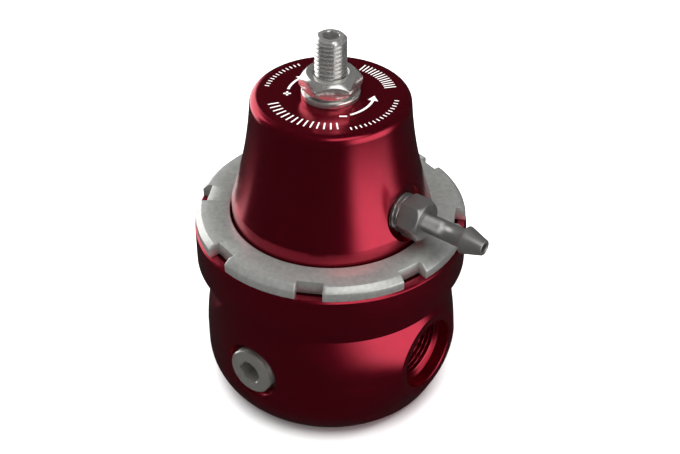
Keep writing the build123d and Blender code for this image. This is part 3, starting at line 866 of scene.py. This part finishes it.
def prism(name, corners, low, high):
    """Upright solid between two heights, with (x, y) corners in millimetres."""
    form = bmesh.new()
    foot = form.faces.new([form.verts.new((x * mm, y * mm, low * mm)) for x, y in corners])
    raised = bmesh.ops.extrude_face_region(form, geom=[foot])["geom"]
    lifted = [part for part in raised if isinstance(part, bmesh.types.BMVert)]
    bmesh.ops.translate(form, vec=(0, 0, (high - low) * mm), verts=lifted)
    mesh = bpy.data.meshes.new(name)
    form.to_mesh(mesh)
    form.free()
    return link(name, outward(mesh))


def mark(outline):
    """Flat mark on the cap's top inside this outline of (x, y) points in millimetres."""
    return prism("mark", outline, cap_top, cap_top + mark_height)


def polar(radius, angle):
    """Point at this radius and at this angle in degrees."""
    return radius * cos(radians(angle)), radius * sin(radians(angle))


def curved_arrow(tail, tip):
    """Arrow bent round the cap's axis, from the tail's to the tip's angle in degrees."""
    way = 1 if tip > tail else -1
    neck = tip - way * arrow_head_length
    steps = rows(0, 1, arrow_step)
    outer = [polar(arrow_radius + arrow_width / 2, tail + (neck - tail) * t) for t in steps]
    inner = [polar(arrow_radius - arrow_width / 2, tail + (neck - tail) * t) for t in reversed(steps)]
    head = [
        polar(arrow_radius + arrow_head_half, neck),
        polar(arrow_radius, tip),
        polar(arrow_radius - arrow_head_half, neck),
    ]
    return mark([*outer, *head, *inner])


def bar_mark(centre, along, across, angle):
    """Straight mark of these half sizes, turned by angle."""
    c, s = cos(radians(angle)), sin(radians(angle))
    corners = ((-along, -across), (along, -across), (along, across), (-along, across))
    return mark([(centre[0] + u * c - v * s, centre[1] + u * s + v * c) for u, v in corners])


white_marking = bpy.data.materials.new("white marking")
white_marking.use_nodes = True
marking = white_marking.node_tree
marking_shader = marking.nodes["Principled BSDF"]
marking_shader.inputs["Roughness"].default_value = 0.55
wear = marking.nodes.new("ShaderNodeTexNoise")
wear.inputs["Scale"].default_value = 1500
marking.links.new(marking.nodes.new("ShaderNodeTexCoord").outputs["Object"], wear.inputs["Vector"])
chalk = marking.nodes.new("ShaderNodeMix")
chalk.data_type = "RGBA"
chalk.inputs["A"].default_value = (0.55, 0.53, 0.52, 1)
chalk.inputs["B"].default_value = (0.72, 0.70, 0.69, 1)
marking.links.new(wear.outputs["Fac"], chalk.inputs["Factor"])
marking.links.new(chalk.outputs["Result"], marking_shader.inputs["Base Color"])

marks = [curved_arrow(tail, tip) for tail, tip in arrow_angles]
marks.append(bar_mark(polar(arrow_radius, minus_angle), sign_half_length, sign_half_width, sign_turn))
marks.append(bar_mark(polar(arrow_radius, plus_angle), sign_half_length, sign_half_width, sign_turn))
marks.append(bar_mark(polar(arrow_radius, plus_angle), sign_half_width, sign_half_length, sign_turn))
for count, radius, start, step, length, width in tick_rows:
    level = cap_top + mark_height / 2
    marks.append(
        bars("ticks", white_marking, count, radius, start, step, length, width, mark_height, level)
    )
cap_marks = marks[0]
for other in marks[1:]:
    form = bmesh.new()
    form.from_mesh(cap_marks.data)
    form.from_mesh(other.data)
    form.to_mesh(cap_marks.data)
    form.free()
    bpy.data.objects.remove(other)
cap_marks.name = "cap_marks"
cap_marks.data.materials.clear()
cap_marks.data.materials.append(white_marking)
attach(cap_marks, "root")


# Hose barb
# Steel, turned in one piece: a taper-threaded shank screwed into the cap's spot face, a hexagon for
# the spanner, and a bored tube that ends in a ridge to hold the vacuum hose.
barb_thread_radius = 4.08
barb_thread_length = 7.3
barb_thread_lead = 0.4
barb_thread_stop = 0.35
barb_thread_exposed = 1.9
barb_pitch = 0.941
barb_thread_depth = 0.56
barb_neck_cut = 0.45
barb_neck_start = 0.3
barb_neck_overlap = 0.5
barb_across_flats = 7.94
barb_hexagon_length = 4.4
barb_foot_break = 0.15
barb_corner_clear = 0.2
barb_corner_rise = 0.35
barb_bevel_length = 1.05
barb_hexagon_bore = 1.5
barb_edge_break = 0.1
barb_tube_radius = 2.0
barb_ridge_start = 13.6
barb_ridge_land = 0.35
barb_ridge_radius = 2.9
barb_ridge_ease = 0.12
barb_land_ease = 0.2
barb_end = 18.1
barb_tip_radius = 1.6
barb_tip_ease = 0.15
barb_bore_radius = 1.0
barb_bore_break = 0.2


def corner_radius(across_flats):
    """Distance from a hexagon's middle to its corners."""
    return across_flats / 2 / cos(pi / 6)


def hexagon(name, across_flats, low, high, turned=0.0):
    """Hexagonal prism round Z, with a corner on X when it isn't turned."""
    corners = [polar(corner_radius(across_flats), 60 * k + turned) for k in range(6)]
    return prism(name, corners, low, high)


barb_steel = metal("barb steel", (0.52, 0.505, 0.49), 0.32, metallic=0.92, lines=0.08, mottle=0.06)
barb_thread_end = barb_thread_radius - barb_thread_length * pipe_taper
barb_thread_wall = [
    (barb_thread_radius + z * pipe_taper, z)
    for z in rows(barb_thread_lead - barb_thread_length, -barb_thread_stop, barb_pitch / 14)
]
barb = shaped(
    lathe(
        "hose_barb",
        eased(
            [
                (barb_bore_radius, -barb_thread_length),
                (barb_thread_end - barb_thread_lead, -barb_thread_length),
                *barb_thread_wall,
                (barb_thread_radius - barb_neck_cut, -barb_neck_start),
                (barb_thread_radius - barb_neck_cut, barb_neck_overlap),
                (barb_tube_radius, barb_neck_overlap),
                (barb_tube_radius, barb_ridge_start),
                (barb_ridge_radius, barb_ridge_start, barb_ridge_ease),
                (barb_ridge_radius, barb_ridge_start + barb_ridge_land, barb_land_ease),
                (barb_tip_radius, barb_end, barb_tip_ease),
                (barb_bore_radius + barb_bore_break, barb_end),
                (barb_bore_radius, barb_end - barb_bore_break),
            ]
        ),
        128,
    ),
    thread,
    barb_steel,
    radius=barb_thread_end * mm,
    depth=barb_thread_depth * mm,
    pitch=barb_pitch * mm,
    start=-barb_thread_length * mm,
    end=(thread_margin - barb_thread_stop) * mm,
    taper=pipe_taper,
)
flats = hexagon("flats", barb_across_flats, 0, barb_hexagon_length)
barb_corner = corner_radius(barb_across_flats)
turned_off = lathe(
    "turned off",
    [
        (0, 0),
        (barb_corner - barb_foot_break, 0),
        (barb_corner + barb_corner_clear, barb_corner_rise),
        (barb_corner + barb_corner_clear, barb_hexagon_length - barb_bevel_length),
        (barb_across_flats / 2 - barb_foot_break, barb_hexagon_length),
        (0, barb_hexagon_length),
    ],
    128,
)
combine(flats, "INTERSECT", turned_off)
hexagon_bore = lathe(
    "hexagon bore",
    [
        (0, -cutter_clear),
        (barb_hexagon_bore, -cutter_clear),
        (barb_hexagon_bore, barb_hexagon_length + cutter_clear),
        (0, barb_hexagon_length + cutter_clear),
    ],
    64,
)
combine(flats, "DIFFERENCE", hexagon_bore)
edged(flats, barb_edge_break)
combine(barb, "UNION", flats)
seated(barb, (barb_pocket_floor + barb_thread_exposed, 0, barb_height), (1, 0, 0), (0, 1, 0))
fitted(barb, barb_steel, "vacuum_barb", "root")


# Gauge port plug
# Taper-threaded steel plug that closes the gauge port, driven by a hexagon socket. Its chamfered
# face stands slightly out of the port's countersunk mouth.
plug_radius = 5.15
plug_stand_out = 0.45
plug_length = 8.0
plug_chamfer = 0.3
plug_face_ease = 0.12
plug_side_ease = 0.1
plug_socket = 4.76
plug_socket_depth = 4.5
plug_lead_gap = 0.08
plug_lead_depth = 0.22
plug_thread_gap = 0.05
plug_pitch = 0.941
plug_thread_depth = 0.5


def lead_in(mouth_radius, depth, face, into):
    """Cutter for a 45 degree lead-in at this face; into is 1 with the metal above it, -1 below."""
    outline = [
        (0, face - into * cutter_clear),
        (mouth_radius + cutter_clear, face - into * cutter_clear),
        (mouth_radius - depth, face + into * depth),
        (0, face + into * depth),
    ]
    return lathe("lead in", outline, 96)


plug_steel = metal("plug steel", (0.52, 0.51, 0.47), 0.22, metallic=0.86, lines=0.08, mottle=0.08)
plug_wall = [
    (plug_radius - z * pipe_taper, z)
    for z in rows(plug_chamfer + plug_thread_gap, plug_length, plug_pitch / 18)
]
plug = shaped(
    lathe(
        "port_plug",
        eased(
            [
                (0, 0),
                (plug_radius - plug_chamfer, 0, plug_face_ease),
                (plug_radius, plug_chamfer, plug_side_ease),
                *plug_wall,
                (0, plug_length),
            ]
        ),
        144,
    ),
    thread,
    plug_steel,
    radius=plug_radius * mm,
    depth=plug_thread_depth * mm,
    pitch=plug_pitch * mm,
    start=plug_chamfer * mm,
    end=(plug_length + thread_margin) * mm,
    taper=-pipe_taper,
)
combine(plug, "DIFFERENCE", hexagon("socket", plug_socket, -cutter_clear, plug_socket_depth))
combine(plug, "DIFFERENCE", lead_in(corner_radius(plug_socket) - plug_lead_gap, plug_lead_depth, 0, 1))
seated(plug, (0, -body_radius - plug_stand_out, port_height), (0, 1, 0), (1, 0, 0))
fitted(plug, plug_steel, "gauge_port_plug", "root")


# Sealing washer
# Plated steel ring under the lock nut, with a rubber seal bonded into its bore that keeps the
# vacuum in the cap along the screw's thread.
washer_radius = 5.95
washer_bore_radius = 4.3
washer_top = 72.2
washer_foot_ease = 0.2
washer_top_ease = 0.3

nut_steel = metal("nut steel", (0.82, 0.81, 0.78), 0.18, metallic=0.90, lines=0.06, mottle=0.05)
washer = lathe(
    "washer_ring",
    eased(
        [
            (washer_bore_radius, cap_top),
            (washer_radius, cap_top, washer_foot_ease),
            (washer_radius, washer_top, washer_top_ease),
            (washer_bore_radius, washer_top),
        ]
    ),
    160,
)
fitted(washer, nut_steel, "sealing_washer", "root")


# Lock nut
# Plated steel hexagon nut on the screw. Its corners are turned off above and below by a cone, which
# leaves the curved edge on every flat, and it is tightened down on the washer.
nut_across_flats = 11.11
nut_top = 76.17
nut_bevel = 1.48
nut_bevel_angle = 44.0
nut_turn = -18.0
nut_bore_radius = 3.31
nut_lead_depth = 0.35
nut_edge_break = 0.09
nut_edge_angle = 24

nut_face_radius = corner_radius(nut_across_flats) - nut_bevel
nut_middle = (washer_top + nut_top) / 2
nut_widest = nut_face_radius + (nut_top - nut_middle) / tan(radians(nut_bevel_angle))
nut = hexagon("screw_nut", nut_across_flats, washer_top, nut_top, nut_turn)
double_cone = lathe(
    "double cone",
    [
        (0, washer_top),
        (nut_face_radius, washer_top),
        (nut_widest, nut_middle),
        (nut_face_radius, nut_top),
        (0, nut_top),
    ],
    192,
)
combine(nut, "INTERSECT", double_cone)
nut_bore = lathe(
    "nut bore",
    [
        (0, washer_top - cutter_clear),
        (nut_bore_radius, washer_top - cutter_clear),
        (nut_bore_radius, nut_top - nut_lead_depth),
        (nut_bore_radius + nut_lead_depth + cutter_clear, nut_top + cutter_clear),
        (0, nut_top + cutter_clear),
    ],
    128,
)
combine(nut, "DIFFERENCE", nut_bore)
edged(nut, nut_edge_break, nut_edge_angle)
fitted(nut, nut_steel, "lock_nut", "lock_nut")


# Adjusting screw
# Steel set screw with a fine thread along its whole length, a chamfer at both ends and a hexagon
# socket in its top. Turned in, it presses the main spring down and raises the fuel pressure.
screw_radius = 3.25
screw_bottom = 61.0
screw_top = 84.27
screw_chamfer = 0.75
screw_shoulder_in = 0.28
screw_shoulder_down = 0.33
screw_top_ease = 0.12
screw_cup_radius = 1.9
screw_cup_depth = 1.4
screw_pitch = 0.907
screw_thread_depth = 0.5
screw_thread_stop = 0.2
screw_row_gap = 0.05
screw_socket = 3.18
screw_socket_depth = 4.5
screw_lead_gap = 0.05
screw_lead_depth = 0.2

screw_steel = metal("screw steel", (0.76, 0.75, 0.73), 0.21, metallic=0.88, lines=0.06, mottle=0.06)
# Coarse rows where the cap and the nut hide the thread, fine ones above the nut
hidden_rows = rows(screw_bottom + screw_chamfer, nut_top, screw_pitch / 10)
open_rows = rows(nut_top + screw_row_gap, screw_top - screw_chamfer, screw_pitch / 30)
screw = shaped(
    lathe(
        "adjuster",
        eased(
            [
                (0, screw_bottom + screw_cup_depth),
                (screw_cup_radius, screw_bottom),
                (screw_radius - screw_chamfer, screw_bottom),
                *[(screw_radius, z) for z in (*hidden_rows, *open_rows)],
                (screw_radius - screw_shoulder_in, screw_top - screw_shoulder_down),
                (screw_radius - screw_chamfer, screw_top, screw_top_ease),
                (0, screw_top),
            ]
        ),
        112,
    ),
    thread,
    screw_steel,
    radius=screw_radius * mm,
    depth=screw_thread_depth * mm,
    pitch=screw_pitch * mm,
    start=screw_bottom * mm,
    end=(screw_top - screw_thread_stop) * mm,
    taper=0.0,
)
socket = hexagon("socket", screw_socket, screw_top - screw_socket_depth, screw_top + cutter_clear)
combine(screw, "DIFFERENCE", socket)
screw_mouth = corner_radius(screw_socket) - screw_lead_gap
combine(screw, "DIFFERENCE", lead_in(screw_mouth, screw_lead_depth, screw_top, -1))
fitted(screw, screw_steel, "adjusting_screw", "adjusting_screw")


# Inner parts
# The valve, its seat, the diaphragm, the springs and their plates sit inside the base and the cap,
# where only a look into an open port reaches them. The solids' own shapes serve, newly finished.


def rubber(name, colour, grain=700):
    """Matt moulded rubber with a slightly uneven skin."""
    material = bpy.data.materials.new(name)
    material.use_nodes = True
    tree = material.node_tree
    shader = tree.nodes["Principled BSDF"]
    shader.inputs["Roughness"].default_value = 0.6
    noise = tree.nodes.new("ShaderNodeTexNoise")
    noise.inputs["Scale"].default_value = grain
    tree.links.new(tree.nodes.new("ShaderNodeTexCoord").outputs["Object"], noise.inputs["Vector"])
    tint = tree.nodes.new("ShaderNodeMix")
    tint.data_type = "RGBA"
    tint.inputs["A"].default_value = (*[c * 0.7 for c in colour], 1)
    tint.inputs["B"].default_value = (*[c * 1.3 for c in colour], 1)
    tree.links.new(noise.outputs["Fac"], tint.inputs["Factor"])
    tree.links.new(tint.outputs["Result"], shader.inputs["Base Color"])
    bump = tree.nodes.new("ShaderNodeBump")
    bump.inputs["Strength"].default_value = 0.1
    bump.inputs["Distance"].default_value = 0.0001
    tree.links.new(noise.outputs["Fac"], bump.inputs["Height"])
    tree.links.new(bump.outputs[0], shader.inputs["Normal"])
    return material


inner_steel = metal("inner steel", (0.42, 0.42, 0.42), 0.23, lines=0.05)
spring_steel = metal("spring steel", (0.20, 0.20, 0.22), 0.35, lines=0.03)
inner_aluminium = metal("inner aluminium", (0.55, 0.56, 0.57), 0.34, lines=0.08)
seat_brass = metal("seat brass", (0.62, 0.43, 0.17), 0.23, lines=0.05)
seal_rubber = rubber("seal rubber", (0.02, 0.02, 0.02))
diaphragm_rubber = rubber("diaphragm rubber", (0.03, 0.03, 0.032), grain=2500)
inner_finishes = {
    "valve_carrier": inner_aluminium,
    "upper_plate": inner_aluminium,
    "ball_retainer": inner_steel,
    "valve_ball": inner_steel,
    "ball_spring": spring_steel,
    "stem_lock_washer": inner_steel,
    "stem_nut": inner_steel,
    "valve_seat": seat_brass,
    "seat_o_ring": seal_rubber,
    "washer_seal": seal_rubber,
    "diaphragm": diaphragm_rubber,
    "spring_seat": inner_steel,
    "thrust_ball": inner_steel,
    "main_spring": spring_steel,
}
for node, finish in inner_finishes.items():
    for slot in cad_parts[node].material_slots:
        slot.material = finish
